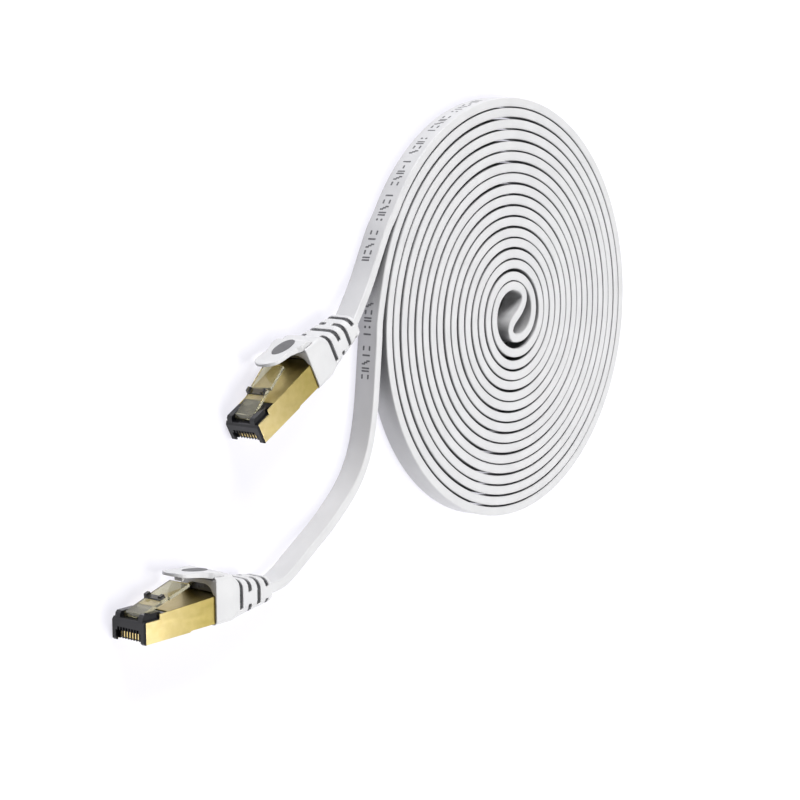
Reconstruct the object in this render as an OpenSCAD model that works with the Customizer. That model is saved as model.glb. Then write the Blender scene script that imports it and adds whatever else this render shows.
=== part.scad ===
// Flat ethernet patch cable: one flat lead, wound double into a flat coil, with a
// shielded modular plug and a slotted strain-relief boot on each end.
// Everything lies on the plane z = 0. The coil's axis is z, through the origin.

/* [Cable] */
// Width of the flat jacket, which stands upright on the floor
cable_w = 7.5; // [6:0.1:8.4]
// Thickness of the flat jacket
cable_t = 2.8; // [2.4:0.1:3.2]

/* [Coil] */
// Outer radius of the coil
coil_r = 68; // [64:0.5:70]
// Radius that softens the coil's outer edges
coil_edge = 1; // [0.2:0.1:1.5]

/* [Plug] */
// Width of the plug across its shield
plug_w = 11.68; // [11.6:0.01:11.79]
// Length of the shield from the nose to its rear edge
shell_len = 29; // [28:0.5:30]
// Thickness of the shield's sheet metal
shell_t = 0.3; // [0.2:0.05:0.35]
// Distance between neighbouring contacts
contact_pitch = 1.02; // [1:0.01:1.04]

/* [Latch] */
// Slope of the latch lever above the plug, in degrees
latch_slope = 17; // [14:1:19]
// Length of the latch lever from its root
latch_len = 17.5; // [15:0.5:18]
// Width of the latch lever at its root
latch_w = 6.2; // [5.6:0.1:6.2]

/* [Boot] */
// Width of the boot at the plug end
boot_w = 13.2; // [13:0.1:14]
// Width of the boot at the cable end
boot_rear_w = 10.4; // [10:0.1:11]
// Height of the boot's top edge above the plug's underside
boot_top = 13.4; // [13.2:0.1:13.8]
// Thickness of the boot's white skin
boot_skin = 1.35; // [1.1:0.05:1.5]
// Width of each slot in the boot
slot_w = 1.4; // [1:0.1:1.8]

/* [Hidden] */
$fn = 48;

// Each plug is drawn with its nose at x = 0, its boot towards +x, its latch towards
// +y, its underside at y = 0 and its width centred on z = 0.
plug_z = boot_w / 2;
plug_a_at = [-122.4, -19.2, plug_z];
plug_a_turn = 26.5;
plug_b_at = [-171, -63.8, plug_z];
plug_b_turn = -2.5;

// Where the cable's middle line runs inside a plug
cable_y = 4.9;
cable_start = 40;

// Boot stations along x, with the underside and the top at each
boot_front = 25.4;
boot_shoulder = 32;
boot_neck = 35.5;
boot_rear = 49;
boot_bottom = -0.2;
boot_rear_bottom = 1.2;
boot_rear_top = 8.6;
boot_neck_top = 10.4;
boot_rounds = [1.4, 1.6, 2.4, 3];
mould_front = 30.6;
mould_rear = 48.3;

// Rings of slots: where the first starts, how far apart they are, and how far from
// the middle the side slots of the first and the third ring stop on top
first_slot = 35.1;
slot_step = 3.75;
slot_bridges = [2.6, 1.2];
side_slot_low = 2.2;
top_slot_low = 6.4;
bottom_slot_high = 3;

// Hinges, as points in a plug's own x-y plane
latch_hinge = [1.6, 6.9];
latch_barrel_r = 0.7;
guard_hinge = [26.6, 12.5];
guard_barrel_r = 0.6;
hinge_gap = 0.08;

// Guard: its nose, its heel, its widths at the root and along the tongue, its oval pad
guard_tip = 13.6;
guard_heel = 29.3;
guard_root_w = 11.4;
guard_w = 8.4;
pad_at = [24, 14.31];
pad_slope = 6;
pad_l = 8.6;
pad_w = 5;
pad_t = 0.4;

// Arch over the latch in the boot's front
arch_r = 3.3;
arch_side = 1.9;
arch_y = 7.5;
arch_back = 27.4;

// Lever: its locking ridge, and the wide plate behind it
ridge_x = [7, 9];
ridge_top = 1.9;
ridge_low = 1.1;
ridge_end_w = 1;
lever_rear_w = 7.2;

// Housing
housing_w = plug_w - 2 * shell_t - 0.02;
nose_front = -0.9;
nose_window_w = 9.2;
nose_window_top = 2.9;
contact_count = 8;
contact_t = 0.56;
contact_slot_w = 0.7;
wire_r = 0.42;
pair_r = 0.92;
pair_gap = 1.9;

// Crimp band: its ends along x, its outside from low to high and its metal's thickness
crimp_x = [31, 37];
crimp_y = [2, 6.2];
crimp_half_w = 4.5;
crimp_t = 0.4;

// Mould: how far its ribs stay below the boot's outside, and their gap in each slot
rib_depth = 0.35;
rib_gap = 0.03;

// The tails' routes: the middle line of the cable from the coil's outer turn to
// a point inside the boot. The last two points lie on the plug's own middle line.
route_a = [
    [-60.2, 33, 3.8], [-62.4, 29.5, 3.8], [-64.4, 26.1, 3.8], [-66.2, 23, 3.8],
    [-68.2, 20, 4], [-70.8, 16.7, 4.4], [-73.9, 13.4, 5], [-77.4, 10.1, 5.8],
    [-80.7, 7.3, 6.4], [-84.6, 5, 6.6], [-88.8, 2.9, 6.6]
];
route_b = [
    [-65.5, 6.4, 3.8], [-66.2, 0.2, 3.8], [-67.1, -5.8, 3.8], [-68, -12, 3.8],
    [-69, -18.2, 3.8], [-70.4, -24.4, 3.8], [-72.6, -31, 3.8], [-76.1, -37.2, 3.8],
    [-80.7, -42.3, 3.8], [-86.1, -46.5, 3.9], [-92.1, -50.2, 4.3], [-98.8, -53.5, 4.9],
    [-105.4, -56.6, 5.6], [-111.2, -59.2, 6.3], [-115.4, -60.7, 6.5], [-119.8, -61.1, 6.6],
    [-124.8, -60.9, 6.6], [-130.8, -60.7, 6.6]
];

// ---- shared shapes ----

function unit(v) = v / norm(v);

// Smooth point between p[i] and p[i + 1]
function spline_point(p, i, s) =
    let (
        n = len(p) - 1,
        a = p[max(i - 1, 0)],
        b = p[i],
        c = p[min(i + 1, n)],
        d = p[min(i + 2, n)]
    )
    0.5 * (2 * b + (c - a) * s + (2 * a - 5 * b + 4 * c - d) * s * s
        + (3 * b - 3 * c + d - a) * s * s * s);

// The route with one more point in the middle of each stretch
function smooth_route(p) = [
    for (i = [0 : len(p) - 2]) each [p[i], spline_point(p, i, 0.5)],
    p[len(p) - 1]
];

// Eight-sided section of the flat jacket: along the floor, then up
function jacket_section() =
    let (a = cable_t / 2, b = cable_w / 2, c = 0.6)
    [[a, b - c], [a - c, b], [c - a, b], [-a, b - c], [-a, c - b], [c - a, -b], [a - c, -b], [a, c - b]];

// A flat cable swept along the route, with its width upright
module flat_tube(route) {
    path = smooth_route(route);
    section = jacket_section();
    m = len(section);
    n = len(path);
    points = [
        for (i = [0 : n - 1])
        let (
            t = unit(path[min(i + 1, n - 1)] - path[max(i - 1, 0)]),
            side = unit([t.y, -t.x, 0])
        )
        for (q = section) path[i] + side * q[0] + [0, 0, q[1]]
    ];
    faces = [
        for (i = [0 : n - 2], j = [0 : m - 1])
        [i * m + j, i * m + (j + 1) % m, (i + 1) * m + (j + 1) % m, (i + 1) * m + j],
        [for (j = [m - 1 : -1 : 0]) j],
        [for (j = [0 : m - 1]) (n - 1) * m + j]
    ];
    polyhedron(points, faces, convexity = 6);
}

module place_plug_a() {
    translate(plug_a_at) rotate([0, 0, plug_a_turn]) children();
}

module place_plug_b() {
    translate(plug_b_at) rotate([0, 0, plug_b_turn]) children();
}

// A side view, drawn in x and y, given a width across z
module across(width) {
    translate([0, 0, -width / 2]) linear_extrude(width) children();
}

// A box from its low corner to its high corner
module box(low, high) {
    translate(low) cube(high - low);
}

// One ring of a rounded rectangle, upright at x, with 4 short sides to each corner
function boot_ring(x, bottom, top, width, round, inset) =
    let (
        r = max(round - inset, 0.4),
        y_mid = (bottom + top) / 2,
        dy = (top - bottom) / 2 - inset - r,
        dz = width / 2 - inset - r
    )
    [
        for (corner = [0 : 3], step = [0 : 4])
        let (a = 90 * corner + 22.5 * step)
        [x, y_mid + (corner == 1 || corner == 2 ? -dy : dy) + r * cos(a),
            (corner > 1 ? dz : -dz) - r * sin(a)]
    ];

// The boot's outer form, pulled in by inset
module boot_form(inset) {
    rings = [
        boot_ring(boot_front, boot_bottom, boot_top, boot_w, boot_rounds[0], inset),
        boot_ring(boot_shoulder, boot_bottom, boot_top - 0.6, boot_w, boot_rounds[1], inset),
        boot_ring(boot_neck, boot_bottom + 0.2, boot_neck_top, boot_w - 1.2, boot_rounds[2], inset),
        boot_ring(boot_rear, boot_rear_bottom, boot_rear_top, boot_rear_w, boot_rounds[3], inset)
    ];
    m = len(rings[0]);
    n = len(rings);
    sides = [
        for (i = [0 : n - 2], j = [0 : m - 1])
        let (k = (j + 1) % m)
        each [[i * m + j, i * m + k, (i + 1) * m + j], [i * m + k, (i + 1) * m + k, (i + 1) * m + j]]
    ];
    caps = [[for (j = [m - 1 : -1 : 0]) j], [for (j = [0 : m - 1]) (n - 1) * m + j]];
    polyhedron([for (ring = rings) each ring], concat(sides, caps), convexity = 4);
}

// Slots down both sides, which wrap over the top edges and stop at the bridge
module side_slots(x, bridge, gap) {
    for (z = [-1, 1])
        translate([x + gap, side_slot_low + gap, z > 0 ? bridge + gap : -boot_w])
            cube([slot_w - 2 * gap, 20, boot_w - bridge - gap]);
}

// A slot over the top that wraps down both sides, and one under the bottom
module top_slots(x, gap) {
    box([x + gap, top_slot_low + gap, -boot_w], [x + slot_w - gap, 20, boot_w]);
    box([x + gap, -10, -boot_w], [x + slot_w - gap, bottom_slot_high - gap, boot_w]);
}

// The four rings of slots, narrowed by gap on every side
module slot_rings(gap) {
    for (i = [0, 1]) {
        side_slots(first_slot + 2 * i * slot_step, slot_bridges[i], gap);
        top_slots(first_slot + (2 * i + 1) * slot_step, gap);
    }
}

// The arch over the latch, from one x to another, narrowed by gap
module arch(from, to, gap) {
    r = arch_r - gap;
    for (z = [-arch_side, arch_side])
        translate([from, arch_y, z]) rotate([0, 90, 0]) cylinder(r = r, h = to - from);
    box([from, arch_y, -arch_side], [to, arch_y + r, arch_side]);
}

// ---- plug pieces ----

// Smoked clear body: nose frame, contact slots and the wire chamber
module plug_housing() {
    color("dimgray", 0.6) difference() {
        union() {
            across(housing_w) polygon([
                [-0.5, 0.45], [-0.5, 6.2], [5, 6.2], [5.8, 7.1], [28.4, 7.6], [28.4, 0.75], [16, 0.45]
            ]);
            across(plug_w) polygon([
                [nose_front, 0.5], [nose_front, 5.4], [-0.3, 6.2], [-0.02, 6.2], [-0.02, 0], [-0.4, 0]
            ]);
            for (z = [-1, 1]) translate([0, 0, z * 4.2]) across(1.8) polygon([
                [-0.6, 6], [-0.3, 7.3], [0.3, 7.8], [5.6, 7.8], [6, 7.4], [6, 6]
            ]);
        }
        // contact slots, open to the front and below
        for (i = [0 : contact_count - 1])
            translate([0, 0, (i - 3.5) * contact_pitch])
                box([-2, -1, -contact_slot_w / 2], [5.6, 3.8, contact_slot_w / 2]);
        // window across the nose that shows the contacts
        box([-2, -1, -nose_window_w / 2], [0.1, nose_window_top, nose_window_w / 2]);
        // wire chamber, open to the rear
        box([6, 1.6, -4.7], [40, 6, 4.7]);
        // seat of the latch lever's root
        translate([latch_hinge.x, latch_hinge.y, -3.2])
            cylinder(r = latch_barrel_r + hinge_gap, h = 6.4);
    }
}

// Gold shield folded from sheet: two sides, underside and top
module plug_shield_shell() {
    color("gold") {
        difference() {
            across(plug_w) polygon([
                [0, 0], [0, 5.9], [5, 5.9], [5, 7.3], [shell_len, 8], [shell_len, 0.35], [16.6, 0.35], [16, 0]
            ]);
            // room for the housing
            across(plug_w - 2 * shell_t) polygon([
                [-1, 0.4], [-1, 9], [6.2, 9], [7.8, 7.18], [40, 7.95], [40, 0.68], [16, 0.4]
            ]);
            // the nose is open below and above
            box([-1, -1, -5.54], [6.4, 2, 5.54]);
            box([-1, 2, -5.54], [8.2, 9, 5.54]);
        }
    }
}

// Lever that locks the plug in its jack; it flexes at the nose
module plug_latch_lever() {
    color("dimgray", 0.6)
        translate([latch_hinge.x, latch_hinge.y, 0]) rotate([0, 0, latch_slope]) {
            cylinder(r = latch_barrel_r, h = latch_w, center = true);
            difference() {
                across(latch_w) polygon([
                    [0, -0.3], [0, latch_barrel_r], [ridge_x[0], 0.7], [ridge_x[0] + 0.3, ridge_top],
                    [ridge_x[1] - 0.3, ridge_top], [ridge_x[1], 0.6], [latch_len, 0.5], [latch_len, -0.4]
                ]);
                // the locking ridge stands tall only at its two ends
                w = latch_w / 2 - ridge_end_w;
                box([ridge_x[0] - 0.1, ridge_low, -w], [ridge_x[1] + 0.1, ridge_top + 1, w]);
            }
            // wide plate behind the locking ridge
            across(lever_rear_w) polygon([
                [ridge_x[1] + 0.6, -0.37], [ridge_x[1] + 0.9, 0.56], [latch_len, 0.5], [latch_len, -0.4]
            ]);
        }
}

// Eight upright blades
module plug_contacts() {
    color("goldenrod")
        for (i = [0 : contact_count - 1])
            translate([0, 0, (i - 3.5) * contact_pitch]) across(contact_t) polygon([
                [0.3, 0.9], [0.3, 2.4], [1.2, 3.6], [5.2, 3.6], [5.2, 1.2], [4.4, 0.8], [0.9, 0.5]
            ]);
}

function wire_y(i) = i % 2 == 0 ? 3.1 : 4.5;

// Comb that holds the eight wires in two rows
module plug_load_bar() {
    color("whitesmoke") difference() {
        box([6.6, 2.1, -4.5], [14, 5.5, 4.5]);
        for (i = [0 : contact_count - 1])
            translate([6, wire_y(i), (i - 3.5) * contact_pitch]) rotate([0, 90, 0])
                cylinder(r = wire_r + 0.03, h = 9, $fn = 24);
    }
}

module plug_conductors() {
    color("orange")
        for (i = [0 : contact_count - 1])
            translate([6.1, wire_y(i), (i - 3.5) * contact_pitch]) rotate([0, 90, 0])
                cylinder(r = wire_r, h = 14.7, $fn = 24);
}

// Four pairs in their foil wraps, side by side as in the jacket
module plug_foil_pairs() {
    color("silver")
        for (i = [0 : 3])
            translate([21, (wire_y(0) + wire_y(1)) / 2, (i - 1.5) * pair_gap]) rotate([0, 90, 0])
                cylinder(r = pair_r, h = cable_start - 21.1, $fn = 24);
}

// Crimped metal band behind the shield
module plug_crimp_band() {
    color("silver") difference() {
        box([crimp_x[0], crimp_y[0], -crimp_half_w], [crimp_x[1], crimp_y[1], crimp_half_w]);
        w = crimp_half_w - crimp_t;
        box([crimp_x[0] - 1, crimp_y[0] + crimp_t, -w], [crimp_x[1] + 1, crimp_y[1] - crimp_t, w]);
    }
}

// Dark core moulded over the crimp and the jacket's end. Its ribs show in the boot's
// slots, and its nose closes the arch above the shield.
module plug_inner_mould() {
    color([0.24, 0.24, 0.25]) difference() {
        union() {
            intersection() {
                union() {
                    boot_form(boot_skin + 0.02);
                    intersection() {
                        boot_form(rib_depth);
                        slot_rings(rib_gap);
                    }
                }
                box([mould_front, -5, -boot_w], [mould_rear - 0.02, 20, boot_w]);
            }
            intersection() {
                arch(arch_back, mould_front + 0.4, rib_gap);
                box([arch_back, 8.15, -boot_w], [mould_front + 0.4, 20, boot_w]);
            }
        }
        box([mould_front - 1, crimp_y[0] - 0.1, -5], [crimp_x[1] + 0.1, crimp_y[1] + 0.1, 5]);
        box([crimp_x[1], 2.7, -4], [cable_start + 0.1, 5, 4]);
    }
}

// White boot: a pocket for the plug, an arch over the latch, and four rings of slots
module plug_boot() {
    color("white") difference() {
        boot_form(0);
        intersection() {
            boot_form(boot_skin);
            box([mould_front - 0.02, -5, -boot_w], [mould_rear, 20, boot_w]);
        }
        // pocket for the shield's rear end
        box([20, 0.3, -plug_w / 2 - 0.05], [mould_front, 8.1, plug_w / 2 + 0.05]);
        arch(20, mould_front, 0);
        guard_seat();
        slot_rings(0);
    }
}

// Bay in the boot's front top edge, with a groove for the guard's barrel
module guard_seat() {
    w = guard_root_w + 0.3;
    x = guard_hinge.x;
    y = guard_hinge.y;
    translate([x, y, 0]) cylinder(r = guard_barrel_r + hinge_gap, h = w, center = true);
    across(w) polygon([
        [boot_front - 1, 12.2], [boot_front + 0.2, 12.2], [x, y], [guard_heel + 0.1, y + 0.05],
        [guard_heel + 0.1, 20], [boot_front - 1, 20]
    ]);
}

// The guard from above: x along the plug, y across it
module guard_outline() {
    root = guard_root_w / 2;
    side = guard_w / 2;
    tip = guard_tip + side;
    polygon([
        [guard_heel, -root], [guard_heel, root], [25.4, root], [24.2, side + 0.8], [21.5, side],
        for (a = [90 : 15 : 270]) [tip + side * cos(a), side * sin(a)],
        [21.5, -side], [24.2, -side - 0.8], [25.4, -root]
    ]);
}

// Tongue that covers the latch lever; the rib under it presses the lever
module plug_latch_guard() {
    color("white") {
        translate([guard_hinge.x, guard_hinge.y, 0])
            cylinder(r = guard_barrel_r, h = guard_root_w, center = true);
        difference() {
            intersection() {
                across(guard_root_w) polygon([
                    [guard_heel, 13.25], [28.6, 14], [27.9, 14.3], [24, 14.71], [19, 15.23],
                    [16.2, 15.5], [14.2, 15.95], [guard_tip, 15.8], [13.9, 14.95], [16.5, 14.3], [19, 13.9],
                    [22, 13.4], [25, 12.75], [25.6, 12.6], [guard_heel, 12.62]
                ]);
                rotate([90, 0, 0]) translate([0, 0, -20]) linear_extrude(20) guard_outline();
            }
            pad_place() pad_shape(0.06, 2);
        }
        across(3) polygon([[17.6, 14.5], [17.8, 12.8], [18.6, 12.8], [18.8, 14.5]]);
    }
}

// Oval grip pad let into the tongue
module plug_thumb_pad() {
    color("darkgray") pad_place() pad_shape(0, pad_t);
}

module pad_place() {
    translate([pad_at.x, pad_at.y, 0]) rotate([0, 0, -pad_slope]) rotate([-90, 0, 0]) children();
}

module pad_shape(grow, height) {
    linear_extrude(height) polygon([
        for (a = [0 : 12 : 348]) [(pad_l / 2 + grow) * cos(a), (pad_w / 2 + grow) * sin(a)]
    ]);
}

// ---- nodes ----

module cable_coil() {
    c = coil_edge;
    color("white") rotate_extrude($fn = 96) union() {
        square([coil_r - c, cable_w]);
        translate([0, c]) square([coil_r, cable_w - 2 * c]);
        for (z = [c, cable_w - c]) translate([coil_r - c, z]) circle(r = c, $fn = 32);
    }
}
module cable_tail_a() { color("white") flat_tube(route_a); }
module cable_tail_b() { color("white") flat_tube(route_b); }

module plug_a_housing() { place_plug_a() plug_housing(); }
module plug_a_shield_shell() { place_plug_a() plug_shield_shell(); }
module plug_a_latch_lever() { place_plug_a() plug_latch_lever(); }
module plug_a_contacts() { place_plug_a() plug_contacts(); }
module plug_a_load_bar() { place_plug_a() plug_load_bar(); }
module plug_a_conductors() { place_plug_a() plug_conductors(); }
module plug_a_foil_pairs() { place_plug_a() plug_foil_pairs(); }
module plug_a_crimp_band() { place_plug_a() plug_crimp_band(); }
module plug_a_inner_mould() { place_plug_a() plug_inner_mould(); }
module plug_a_boot() { place_plug_a() plug_boot(); }
module plug_a_latch_guard() { place_plug_a() plug_latch_guard(); }
module plug_a_thumb_pad() { place_plug_a() plug_thumb_pad(); }

module plug_b_housing() { place_plug_b() plug_housing(); }
module plug_b_shield_shell() { place_plug_b() plug_shield_shell(); }
module plug_b_latch_lever() { place_plug_b() plug_latch_lever(); }
module plug_b_contacts() { place_plug_b() plug_contacts(); }
module plug_b_load_bar() { place_plug_b() plug_load_bar(); }
module plug_b_conductors() { place_plug_b() plug_conductors(); }
module plug_b_foil_pairs() { place_plug_b() plug_foil_pairs(); }
module plug_b_crimp_band() { place_plug_b() plug_crimp_band(); }
module plug_b_inner_mould() { place_plug_b() plug_inner_mould(); }
module plug_b_boot() { place_plug_b() plug_boot(); }
module plug_b_latch_guard() { place_plug_b() plug_latch_guard(); }
module plug_b_thumb_pad() { place_plug_b() plug_thumb_pad(); }

cable_coil();
cable_tail_a();
cable_tail_b();
plug_a_housing();
plug_a_shield_shell();
plug_a_latch_lever();
plug_a_contacts();
plug_a_load_bar();
plug_a_conductors();
plug_a_foil_pairs();
plug_a_crimp_band();
plug_a_inner_mould();
plug_a_boot();
plug_a_latch_guard();
plug_a_thumb_pad();
plug_b_housing();
plug_b_shield_shell();
plug_b_latch_lever();
plug_b_contacts();
plug_b_load_bar();
plug_b_conductors();
plug_b_foil_pairs();
plug_b_crimp_band();
plug_b_inner_mould();
plug_b_boot();
plug_b_latch_guard();
plug_b_thumb_pad();
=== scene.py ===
"""Looks of a flat ethernet patch cable: a white flat lead wound double into a coil,
with a gold shielded plug and a slotted white boot on each end.
Metres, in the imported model's frame: z is up and the coil's axis, through the origin."""

import math
import random

import bmesh
import bpy
from mathutils import Matrix, Vector


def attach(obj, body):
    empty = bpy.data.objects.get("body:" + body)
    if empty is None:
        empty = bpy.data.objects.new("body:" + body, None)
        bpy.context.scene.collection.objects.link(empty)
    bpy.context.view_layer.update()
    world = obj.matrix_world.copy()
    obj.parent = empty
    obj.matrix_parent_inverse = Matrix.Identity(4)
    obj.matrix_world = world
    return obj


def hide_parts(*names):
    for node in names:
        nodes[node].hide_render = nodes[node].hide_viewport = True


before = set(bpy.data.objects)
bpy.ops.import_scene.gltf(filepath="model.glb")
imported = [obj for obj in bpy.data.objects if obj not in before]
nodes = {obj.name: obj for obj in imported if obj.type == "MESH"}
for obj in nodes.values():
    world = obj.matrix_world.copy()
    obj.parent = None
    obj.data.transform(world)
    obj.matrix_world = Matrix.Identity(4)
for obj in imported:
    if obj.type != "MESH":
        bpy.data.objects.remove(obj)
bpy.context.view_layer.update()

MM = 0.001
random.seed(7)

# ---- sizes, in millimetres ----

CABLE_W = 7.5
CABLE_T = 2.8
CABLE_EDGE = 0.45
CABLE_Z = 3.8
PLUG_Z = 6.6
WIRE_STEP = 1.02

PITCH = 3.38
FIRST_R = 9.45
TURN_STEPS = 96
LINE_STEP = 1.3
COIL_SHIFT = (3.3, -0.85)
COIL_OUT_R = 68.1
# Each strand's zero angle, and its first and last angle past it, in degrees
STRAND_A = (270, 8, 3117)
STRAND_B = (90, 4, 2953)

# Where the front edge of each plug's shield sits, and the plug's turn about z in degrees
PLUG_AT = {"a": (-122.4, -19.2, 26.5), "b": (-171, -63.8, -2.5)}

# The tails, from the coil's outer turn to the inside of each boot, as in the CAD model
ROUTE_A = [
    (-60.2, 33, 3.8), (-62.4, 29.5, 3.8), (-64.4, 26.1, 3.8), (-66.2, 23, 3.8),
    (-68.2, 20, 4), (-70.8, 16.7, 4.4), (-73.9, 13.4, 5), (-77.4, 10.1, 5.8),
    (-80.7, 7.3, 6.4), (-84.6, 5, 6.6), (-88.8, 2.9, 6.6),
]
ROUTE_B = [
    (-65.5, 6.4, 3.8), (-66.2, 0.2, 3.8), (-67.1, -5.8, 3.8), (-68, -12, 3.8),
    (-69, -18.2, 3.8), (-70.4, -24.4, 3.8), (-72.6, -31, 3.8), (-76.1, -37.2, 3.8),
    (-80.7, -42.3, 3.8), (-86.1, -46.5, 3.9), (-92.1, -50.2, 4.3), (-98.8, -53.5, 4.9),
    (-105.4, -56.6, 5.6), (-111.2, -59.2, 6.3), (-115.4, -60.7, 6.5), (-119.8, -61.1, 6.6),
    (-124.8, -60.9, 6.6), (-130.8, -60.7, 6.6),
]
# The fold at the coil's heart, where one strand turns back into the other
HEART = [
    (5.9, 7.7), (7.7, 5.9), (7.9, 3.7), (6.7, 1.5), (4.7, -0.5), (2.4, -2.1), (0.6, -3.8),
    (0, -5.4), (0.5, -7), (2, -8.1),
]


# ---- camera ----

CAMERA_AT = (-0.5146, 0.0896, 0.3758)
CAMERA_BACK = (-0.7657, 0.1811, 0.6171)
CAMERA_UP = (0.1613, 0.9829, -0.0883)
LENS = 90


def add_camera():
    data = bpy.data.cameras.new("camera")
    data.lens = LENS
    data.sensor_width = 36
    data.clip_start = 0.05
    data.clip_end = 20
    cam = bpy.data.objects.new("camera", data)
    bpy.context.scene.collection.objects.link(cam)
    back = Vector(CAMERA_BACK).normalized()
    right = Vector(CAMERA_UP).cross(back).normalized()
    up = back.cross(right)
    turn = Matrix((right, up, back)).transposed()
    cam.matrix_world = Matrix.Translation(Vector(CAMERA_AT)) @ turn.to_4x4()
    bpy.context.scene.camera = cam


add_camera()


# ---- the cord ----

def drifted(x, y):
    """The coil's inner turns sit a little off its outer turns' centre."""
    share = max(0, 1 - math.hypot(x, y) / COIL_OUT_R)
    return x + COIL_SHIFT[0] * share, y + COIL_SHIFT[1] * share


def spiral(start, first, last, outward, tuck):
    """Points of one strand, from angle first to last, in degrees past start.
    outward moves it all out, and tuck(turned) draws it in towards the heart."""
    count = max(2, round(abs(last - first) / 360 * TURN_STEPS))
    phase = random.uniform(0, math.tau)
    points = []
    for i in range(count + 1):
        turned = first + (last - first) * i / count
        a = math.radians(start + turned)
        r = FIRST_R + 2 * PITCH * turned / 360 + outward - tuck(turned)
        r += 0.05 * math.sin(2.3 * a + phase) + 0.03 * math.sin(5.1 * a + 2 * phase)
        z = CABLE_Z + 0.03 * math.sin(1.7 * a + phase)
        points.append((*drifted(r * math.cos(a), r * math.sin(a)), z))
    return points


def cord_points():
    """The cord's middle line from inside boot A to inside boot B, in millimetres."""
    strand_a = spiral(*STRAND_A, 0, lambda t: 2.1 * max(0, 1 - t / 300) ** 2)
    strand_b = spiral(*STRAND_B, 0.12, lambda t: 0.6 * math.exp(-(((t - 180) / 50) ** 2)))
    heart = [(x, y, CABLE_Z) for x, y in HEART]
    return ROUTE_A[::-1] + strand_a[::-1] + heart[::-1] + strand_b + ROUTE_B


def smooth_line(points, step):
    """A centripetal spline through the points, cut about every step."""
    p = [Vector(q) for q in points]
    p = [2 * p[0] - p[1], *p, 2 * p[-1] - p[-2]]
    out = []
    for i in range(1, len(p) - 2):
        a, b, c, d = p[i - 1 : i + 3]
        t1 = (b - a).length ** 0.5
        t2 = t1 + (c - b).length ** 0.5
        t3 = t2 + (d - c).length ** 0.5
        cuts = max(1, round((c - b).length / step))
        for j in range(cuts):
            t = t1 + (t2 - t1) * j / cuts
            ab = a.lerp(b, t / t1)
            bc = b.lerp(c, (t - t1) / (t2 - t1))
            cd = c.lerp(d, (t - t2) / (t3 - t2))
            abc = ab.lerp(bc, t / t2)
            bcd = bc.lerp(cd, (t - t1) / (t3 - t1))
            out.append(abc.lerp(bcd, (t - t1) / (t2 - t1)))
    out.append(p[-2])
    return out


def jacket_section(half_t, half_w, edge, corner_steps=4):
    """A rounded rectangle round the middle line: across, then up."""
    ring = []
    for corner, (sx, sy) in enumerate([(1, 1), (-1, 1), (-1, -1), (1, -1)]):
        for k in range(corner_steps):
            a = math.radians(90 * (corner + k / (corner_steps - 1)))
            ring.append((sx * (half_t - edge) + edge * math.cos(a),
                         sy * (half_w - edge) + edge * math.sin(a)))
    return ring


def tube(name, line, section):
    """One closed tube along the line, its width upright, with a UV map of arc length."""
    bm = bmesh.new()
    uv = bm.loops.layers.uv.new("along")
    rings, run, total = [], [], 0
    for i, p in enumerate(line):
        ahead = (line[min(i + 1, len(line) - 1)] - line[max(i - 1, 0)]).normalized()
        side = Vector((ahead.y, -ahead.x, 0)).normalized()
        up = side.cross(ahead) * -1
        if up.z < 0:
            up = -up
        rings.append([bm.verts.new((p + side * x + up * y) * MM) for x, y in section])
        total += (p - line[i - 1]).length if i else 0
        run.append(total)
    m = len(section)
    for i in range(len(rings) - 1):
        for j in range(m):
            k = (j + 1) % m
            face = bm.faces.new((rings[i][j], rings[i][k], rings[i + 1][k], rings[i + 1][j]))
            face.smooth = True
            for loop, (u, v) in zip(face.loops, [(i, j), (i, j + 1), (i + 1, j + 1), (i + 1, j)]):
                loop[uv].uv = (run[u] * MM, v / m)
    bm.faces.new(rings[0][::-1])
    bm.faces.new(rings[-1])
    bmesh.ops.recalc_face_normals(bm, faces=bm.faces)
    mesh = bpy.data.meshes.new(name)
    bm.to_mesh(mesh)
    bm.free()
    obj = bpy.data.objects.new(name, mesh)
    bpy.context.scene.collection.objects.link(obj)
    return obj, total


LINE = smooth_line(cord_points(), LINE_STEP)
cord, cord_length = tube("flat_cord", LINE, jacket_section(CABLE_T / 2, CABLE_W / 2, CABLE_EDGE))


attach(cord, "cable")
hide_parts("cable_coil", "cable_tail_a", "cable_tail_b")


# ---- materials ----

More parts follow.
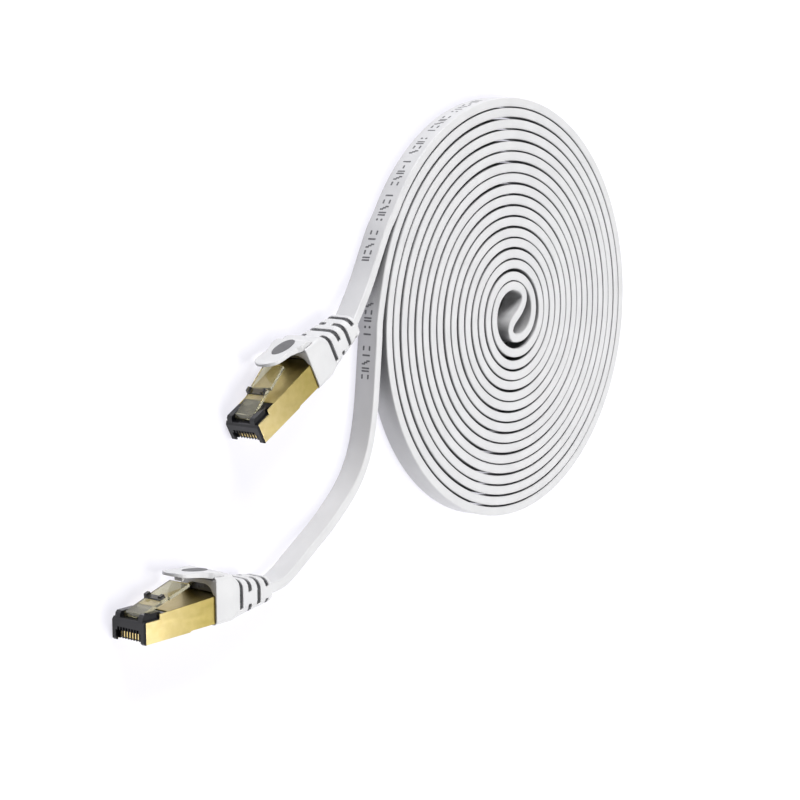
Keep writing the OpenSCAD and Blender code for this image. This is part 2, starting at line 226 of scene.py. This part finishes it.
class Finish:
    """A material and short ways to add its nodes."""

    def __init__(self, name, **values):
        self.mat = bpy.data.materials.new(name)
        self.mat.use_nodes = True
        self.nodes = self.mat.node_tree.nodes
        self.links = self.mat.node_tree.links
        self.shader = self.nodes["Principled BSDF"]
        for key, value in values.items():
            self.shader.inputs[key.replace("_", " ")].default_value = value
        self.place = self.nodes.new("ShaderNodeTexCoord").outputs["Object"]

    def link(self, a, b):
        self.links.new(a, b)

    def noise(self, scale, detail=3, stretch=(1, 1, 1)):
        """Noise in object space; scale is per millimetre."""
        grid = self.nodes.new("ShaderNodeMapping")
        grid.inputs["Scale"].default_value = stretch
        tex = self.nodes.new("ShaderNodeTexNoise")
        tex.inputs["Scale"].default_value = scale / MM
        tex.inputs["Detail"].default_value = detail
        self.link(self.place, grid.inputs["Vector"])
        self.link(grid.outputs["Vector"], tex.inputs["Vector"])
        return tex.outputs["Fac"]

    def ramp(self, source, low, high, start=0.35, end=0.65):
        """Spreads a noise between two values or colours."""
        if not isinstance(low, tuple):
            node = self.nodes.new("ShaderNodeMapRange")
            node.inputs["From Min"].default_value = start
            node.inputs["From Max"].default_value = end
            node.inputs["To Min"].default_value = low
            node.inputs["To Max"].default_value = high
            self.link(source, node.inputs["Value"])
            return node.outputs["Result"]
        node = self.nodes.new("ShaderNodeValToRGB")
        node.color_ramp.elements[0].position = start
        node.color_ramp.elements[1].position = end
        node.color_ramp.elements[0].color = (*low, 1)
        node.color_ramp.elements[1].color = (*high, 1)
        self.link(source, node.inputs["Fac"])
        return node.outputs["Color"]

    def bump(self, source, depth_mm, strength=1.0):
        node = self.nodes.new("ShaderNodeBump")
        node.inputs["Distance"].default_value = depth_mm * MM
        node.inputs["Strength"].default_value = strength
        self.link(source, node.inputs["Height"])
        self.link(node.outputs["Normal"], self.shader.inputs["Normal"])

    def tint(self, low, high, scale, **more):
        """Base colour between two, by noise."""
        self.link(self.ramp(self.noise(scale, **more), low, high), self.shader.inputs["Base Color"])

    def shade_hollows(self, shade, reach):
        """Paints shade into the base colour in a deep gap, where less light finds its way out."""
        near = self.nodes.new("ShaderNodeAmbientOcclusion")
        near.inputs["Distance"].default_value = reach * MM
        near.only_local = True
        near.samples = 6
        mix = self.nodes.new("ShaderNodeMix")
        mix.data_type = "RGBA"
        base = self.shader.inputs["Base Color"]
        self.link(base.links[0].from_socket, mix.inputs["B"])
        mix.inputs["A"].default_value = shade
        self.link(self.ramp(near.outputs["AO"], 0.0, 1.0, 0.12, 0.8), mix.inputs["Factor"])
        self.link(mix.outputs["Result"], base)

    def gloss(self, low, high, scale, **more):
        """Roughness between two values, by noise."""
        self.link(self.ramp(self.noise(scale, **more), low, high), self.shader.inputs["Roughness"])


def moulded(name, low, high, rough, grain_depth, hollow=None):
    """hollow is the painted shade of its own deep gaps, and how far off their walls count, in mm.
    """
    f = Finish(name, IOR=1.5, Subsurface_Weight=0.04, Subsurface_Scale=0.0006)
    f.shader.inputs["Subsurface Radius"].default_value = (1, 0.9, 0.8)
    f.tint(low, high, 0.12, detail=2)
    if hollow:
        f.shade_hollows(*hollow)
    f.gloss(rough[0], rough[1], 0.6)
    f.bump(f.noise(5, detail=4), grain_depth)
    return f.mat


def metal(name, low, high, rough, stretch, depth):
    f = Finish(name, Metallic=1.0)
    f.tint(low, high, 0.35, detail=3)
    f.gloss(rough[0], rough[1], 1.1, stretch=stretch)
    f.bump(f.noise(3, detail=4, stretch=stretch), depth)
    return f.mat


def clear(name, low, high, rough, transmission, level=0.5):
    f = Finish(name, IOR=1.58, Transmission_Weight=transmission, Specular_IOR_Level=level)
    f.tint(low, high, 0.4, detail=1)
    f.gloss(rough[0], rough[1], 0.5)
    f.bump(f.noise(0.5, detail=1), 0.02)
    return f.mat


# The jacket's colour gets painted shade in the deep gaps between its turns and in the coil's heart.
JACKET = moulded("jacket_pvc", (0.462, 0.462, 0.469), (0.487, 0.487, 0.494), (0.42, 0.52), 0.01,
                 hollow=((0.06, 0.06, 0.065, 1), 9))
BOOT = moulded("boot_soft_white", (0.475, 0.475, 0.482), (0.505, 0.505, 0.51), (0.45, 0.58), 0.012)
# A charcoal inner moulding; its near black also stands as painted shade inside the boot's slots and
# arch.
DARK_MOULD_AND_SHADE = moulded("mould_charcoal_and_shade", (0.03, 0.03, 0.032), (0.045, 0.045, 0.048), (0.25, 0.36), 0.01)
PAD = moulded("pad_grey", (0.095, 0.095, 0.099), (0.108, 0.108, 0.112), (0.55, 0.7), 0.03)
CONTACT = metal("gold_contact", (0.9, 0.68, 0.26), (0.95, 0.75, 0.33), (0.14, 0.24), (1, 1, 0.2),
                0.004)
CRIMP = metal("nickel_crimp", (0.6, 0.6, 0.58), (0.7, 0.7, 0.68), (0.25, 0.4), (0.2, 1, 1), 0.01)
FOIL = metal("pair_foil", (0.72, 0.72, 0.74), (0.82, 0.82, 0.84), (0.2, 0.36), (1, 1, 1), 0.08)
SMOKED = clear("smoked_polycarbonate", (0.008, 0.008, 0.01), (0.016, 0.016, 0.018), (0.04, 0.08),
               0.2, 0.3)
COMB = clear("clear_comb", (0.8, 0.82, 0.84), (0.88, 0.9, 0.9), (0.08, 0.16), 0.8)


def along_plug(f, plug, point, turn, first, last):
    """0 to 1 from first to last, in mm from a point of the plug's side view, at a turn in it."""
    x, y, plug_turn = PLUG_AT[plug]
    a = math.radians(plug_turn)
    at = Vector((x + point[0] * math.cos(a) - point[1] * math.sin(a),
                 y + point[0] * math.sin(a) + point[1] * math.cos(a), 0))
    b = math.radians(plug_turn + turn)
    way = Vector((math.cos(b), math.sin(b), 0))
    dot = f.nodes.new("ShaderNodeVectorMath")
    dot.operation = "DOT_PRODUCT"
    dot.inputs[1].default_value = way
    f.link(f.place, dot.inputs[0])
    start = at.dot(way)
    return f.ramp(dot.outputs["Value"], 0.0, 1.0, (start + first) * MM, (start + last) * MM)


def blend(f, factor, first, second):
    """Mixes two colour sockets into the base colour."""
    mix = f.nodes.new("ShaderNodeMix")
    mix.data_type = "RGBA"
    f.link(factor, mix.inputs["Factor"])
    f.link(first, mix.inputs["A"])
    f.link(second, mix.inputs["B"])
    f.link(mix.outputs["Result"], f.shader.inputs["Base Color"])


# How far behind its front edge the painted shade on the shield's gold stops deepening
GOLD_SHADE_END = 22


def shell_gold(plug):
    """Plated sheet, its colour painted lighter at the front edge and darker towards the boot, as
    light falls on it.
    """
    f = Finish("gold_shield_" + plug, Metallic=1.0)
    grain = f.noise(0.5, detail=2)
    # Painted light and shade: bright gold at the front edge, painted shade darker towards the boot.
    blend(f, along_plug(f, plug, (0, 0), 0, 0, GOLD_SHADE_END),
          f.ramp(grain, (0.74, 0.60, 0.28), (0.78, 0.645, 0.325)),
          f.ramp(grain, (0.48, 0.385, 0.12), (0.52, 0.415, 0.14)))
    f.gloss(0.29, 0.34, 1.1, stretch=(0.15, 1, 1))
    return f.mat


# The latch lever's root in a plug's side view, and its slope in degrees. The painted shade on its
# locking ridge starts and ends so far along it, and is so far above its middle.
LEVER_ROOT = (1.6, 6.9)
LEVER_SLOPE = 17
RIDGE_START, RIDGE_END = 6.9, 9.2
RIDGE_ABOVE = 0.75


def lever_clear(plug):
    """Clear plastic over gold; its locking ridge is painted near black, as shade of the slot under
    it.
    """
    f = Finish("clear_polycarbonate_" + plug, IOR=1.58, Transmission_Weight=0.92)
    haze = f.noise(0.4, detail=1)
    ridge = None
    for turn, first in ((0, RIDGE_START), (180, -RIDGE_END), (90, RIDGE_ABOVE)):
        inside = along_plug(f, plug, LEVER_ROOT, LEVER_SLOPE + turn, first, first + 0.1)
        if ridge:
            both = f.nodes.new("ShaderNodeMath")
            both.operation = "MULTIPLY"
            f.link(ridge, both.inputs[0])
            f.link(inside, both.inputs[1])
            inside = both.outputs["Value"]
        ridge = inside
    # Painted shade: near black on the locking ridge, the lever's olive tint elsewhere.
    blend(f, ridge, f.ramp(haze, (0.60, 0.57, 0.38), (0.70, 0.67, 0.48)),
          f.ramp(haze, (0.012, 0.012, 0.014), (0.03, 0.03, 0.03)))
    f.gloss(0.03, 0.07, 0.5)
    f.bump(f.noise(0.5, detail=1), 0.01)
    return f.mat


GOLD_OF = {plug: shell_gold(plug) for plug in PLUG_AT}
LEVER_OF = {plug: lever_clear(plug) for plug in PLUG_AT}


def wire_finish():
    """Eight insulated wires, a pale and a full one in each of four colours, by height."""
    f = Finish("wire_insulation", Roughness=0.4, IOR=1.5)
    split = f.nodes.new("ShaderNodeSeparateXYZ")
    f.link(f.place, split.inputs["Vector"])
    where = f.nodes.new("ShaderNodeMapRange")
    where.inputs["From Min"].default_value = (PLUG_Z - 4 * WIRE_STEP) * MM
    where.inputs["From Max"].default_value = (PLUG_Z + 4 * WIRE_STEP) * MM
    f.link(split.outputs["Z"], where.inputs["Value"])
    ramp = f.nodes.new("ShaderNodeValToRGB")
    ramp.color_ramp.interpolation = "CONSTANT"
    orange, green = (0.85, 0.22, 0.03), (0.03, 0.35, 0.08)
    blue, brown = (0.03, 0.1, 0.5), (0.16, 0.06, 0.02)
    pale_orange, pale_green, pale_blue, pale_brown = (
        tuple(0.55 + 0.4 * v for v in colour) for colour in (orange, green, blue, brown))
    order = [pale_orange, orange, pale_green, blue, pale_blue, green, pale_brown, brown]
    for i, colour in enumerate(order):
        spot = ramp.color_ramp.elements[i] if i < 2 else ramp.color_ramp.elements.new(i / 8)
        spot.position = i / 8
        spot.color = (*colour, 1)
    f.link(where.outputs["Result"], ramp.inputs["Fac"])
    f.link(ramp.outputs["Color"], f.shader.inputs["Base Color"])
    f.bump(f.noise(4, detail=3), 0.02)
    return f.mat


WIRE = wire_finish()

FINISH_OF = {
    "housing": SMOKED,
    "shield_shell": GOLD_OF,
    "latch_lever": LEVER_OF,
    "contacts": CONTACT,
    "load_bar": COMB,
    "conductors": WIRE,
    "foil_pairs": FOIL,
    "crimp_band": CRIMP,
    "inner_mould": DARK_MOULD_AND_SHADE,
    "boot": BOOT,
    "latch_guard": BOOT,
    "thumb_pad": PAD,
}


def paint(obj, mat):
    obj.data.materials.clear()
    obj.data.materials.append(mat)


paint(cord, JACKET)


# ---- print on the jacket: plain bars, dots and steps, no letters ----

# Each mark is a set of strokes in a cell about 1 wide and 1 high: (along, up, length, height)
MARKS = {
    "bar": [(0, 0, 1, 0.22)],
    "tall": [(0, 0, 0.42, 1)],
    "twin": [(-0.34, 0, 0.4, 1), (0.34, 0, 0.4, 1)],
    "dots": [(0, 0.3, 0.6, 0.26), (0, -0.3, 0.6, 0.26)],
    "steps": [(-0.36, -0.3, 0.4, 0.46), (0, 0, 0.4, 0.46), (0.36, 0.3, 0.4, 0.46)],
    "rails": [(0, 0.4, 1.1, 0.22), (0, -0.4, 1.1, 0.22)],
    "gap": [],
}
WORD_A = ("twin rails steps tall rails gap dots twin steps rails tall gap rails steps twin "
          "bar tall gap steps rails twin dots gap tall rails steps twin rails gap dots tall steps "
          "rails bar twin tall").split()
WORD_B = "rails twin steps tall rails gap tall dots twin rails steps".split()
# How far along the cord, from each plug's end, the print starts
PRINT_A = 32
PRINT_B = 90.5
MARK_STEP = 2.1
MARK_W = 1.25
MARK_H = 2.8
INK = 0.03


def stroke(bm, centre, ahead, up, out, length, height):
    """A thin plate of ink with cut corners, just proud of the jacket."""
    x, y = length / 2, height / 2
    c = min(x, y) * 0.45
    rim = [(x, y - c), (x - c, y), (c - x, y), (-x, y - c),
           (-x, c - y), (c - x, -y), (x - c, -y), (x, c - y)]
    top = [bm.verts.new((centre + ahead * a + up * b + out * INK) * MM) for a, b in rim]
    low = [bm.verts.new((centre + ahead * a + up * b - out * INK) * MM) for a, b in rim]
    bm.faces.new(top)
    bm.faces.new(low[::-1])
    for i in range(len(rim)):
        k = (i + 1) % len(rim)
        bm.faces.new((top[i], low[i], low[k], top[k]))


def print_row(bm, line, row, start, away):
    """Prints marks along the line from arc length start, on the side facing away from a point."""
    place, run = start, 0
    marks = iter(row)
    mark = next(marks)
    for p, q in zip(line, line[1:]):
        step = (q - p).length
        while mark and run + step >= place:
            ahead = (q - p).normalized()
            out = Vector((ahead.y, -ahead.x, 0)).normalized()
            spot = p + ahead * (place - run)
            if out.dot(spot - Vector(away)) < 0:
                out = -out
            up = ahead.cross(out)
            if up.z < 0:
                up = -up
            face = spot + out * (CABLE_T / 2)
            for a, b, length, height in MARKS[mark]:
                stroke(bm, face + ahead * a * MARK_W + up * b * MARK_H, ahead, up, out,
                       length * MARK_W, height * MARK_H)
            place += MARK_STEP
            mark = next(marks, None)
        run += step


def add_print():
    bm = bmesh.new()
    print_row(bm, LINE, WORD_A, PRINT_A, (0, 0, CABLE_Z))
    print_row(bm, LINE[::-1], WORD_B, PRINT_B, (0, -30, CABLE_Z))
    bmesh.ops.recalc_face_normals(bm, faces=bm.faces)
    mesh = bpy.data.meshes.new("jacket_print")
    bm.to_mesh(mesh)
    bm.free()
    obj = bpy.data.objects.new("jacket_print", mesh)
    bpy.context.scene.collection.objects.link(obj)
    ink = Finish("jacket_ink", Roughness=0.6)
    ink.tint((0.07, 0.07, 0.075), (0.14, 0.14, 0.145), 2.5, detail=4)
    ink.bump(ink.noise(6), 0.01)
    paint(obj, ink.mat)
    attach(obj, "cable")


add_print()


# ---- CAD nodes with moulded edges ----

def soften(obj, cell, rounds):
    """Rounds a moulded piece's edges all over."""
    remesh = obj.modifiers.new("cells", "REMESH")
    remesh.mode = "VOXEL"
    remesh.voxel_size = cell * MM
    remesh.use_smooth_shade = True
    smooth = obj.modifiers.new("round", "SMOOTH")
    smooth.factor = 0.5
    smooth.iterations = rounds


def ease(obj, radius, segments=2):
    """Breaks a hard piece's edges with a small round."""
    weld = obj.modifiers.new("weld", "WELD")
    weld.merge_threshold = 0.001 * MM
    flat = obj.modifiers.new("flat", "DECIMATE")
    flat.decimate_type = "DISSOLVE"
    flat.angle_limit = math.radians(1)
    bevel = obj.modifiers.new("edge", "BEVEL")
    bevel.width = radius * MM
    bevel.segments = segments
    bevel.limit_method = "ANGLE"
    bevel.angle_limit = math.radians(35)
    bevel.harden_normals = False


SOFT = {
    "boot": (0.16, 8),
    "latch_guard": (0.14, 6),
    "thumb_pad": (0.12, 5),
    "inner_mould": (0.2, 4),
}
EASED = {
    "housing": 0.12,
    "shield_shell": 0.08,
    "latch_lever": 0.12,
    "contacts": 0.05,
    "load_bar": 0.1,
    "crimp_band": 0.1,
}

for plug in PLUG_AT:
    for piece, finish in FINISH_OF.items():
        obj = nodes[f"plug_{plug}_{piece}"]
        paint(obj, finish[plug] if isinstance(finish, dict) else finish)
        if piece in SOFT:
            soften(obj, *SOFT[piece])
        elif piece in EASED:
            ease(obj, EASED[piece])


# ---- floor and light ----

# Just under the pieces that lie on it
FLOOR_Z = -0.02
GLOW = 0.7


def add_floor():
    bm = bmesh.new()
    bmesh.ops.create_grid(bm, x_segments=2, y_segments=2, size=3)
    mesh = bpy.data.meshes.new("floor")
    bm.to_mesh(mesh)
    bm.free()
    obj = bpy.data.objects.new("floor", mesh)
    bpy.context.scene.collection.objects.link(obj)
    f = Finish("floor_white", Roughness=0.9)
    f.shader.inputs["Specular IOR Level"].default_value = 0.1
    f.shader.inputs["Emission Color"].default_value = (0.92, 0.91, 1, 1)
    # It glows like a light table, evenly, but not at all under the coil's middle: painted shade in
    # the coil's heart
    reach = f.nodes.new("ShaderNodeVectorMath")
    reach.operation = "LENGTH"
    f.link(f.place, reach.inputs[0])
    glow = f.ramp(reach.outputs["Value"], 0.0, GLOW, 0.03, 0.06)
    f.link(glow, f.shader.inputs["Emission Strength"])
    f.tint((0.27, 0.27, 0.27), (0.29, 0.29, 0.29), 0.01, detail=2)
    paint(obj, f.mat)
    obj.location.z = FLOOR_Z * MM


def add_light(name, at, aim, size, power):
    data = bpy.data.lights.new(name, "AREA")
    data.shape = "RECTANGLE"
    data.size, data.size_y = size
    data.energy = power
    obj = bpy.data.objects.new(name, data)
    bpy.context.scene.collection.objects.link(obj)
    obj.location = at
    obj.rotation_mode = "QUATERNION"
    obj.rotation_quaternion = (Vector(aim) - Vector(at)).to_track_quat("-Z", "Y")


add_floor()
MIDDLE = (-0.05, 0, 0)
add_light("key_card", (0.75, -0.75, 0.75), MIDDLE, (1.6, 1.2), 2.6)
add_light("overhead", (0.2, -0.25, 1.2), MIDDLE, (0.6, 0.6), 13.4)
add_light("side", (-0.1, 1.2, 0.6), MIDDLE, (0.9, 0.5), 25)
add_light("low_fill", (0.1, -1.2, 0.5), MIDDLE, (0.9, 0.5), 14)

world = bpy.data.worlds.new("studio")
bpy.context.scene.world = world
world.use_nodes = True
sky = world.node_tree.nodes["Background"].inputs
sky["Color"].default_value = (1, 1, 1, 1)
sky["Strength"].default_value = 0.05
bpy.context.scene.view_settings.view_transform = "Standard"
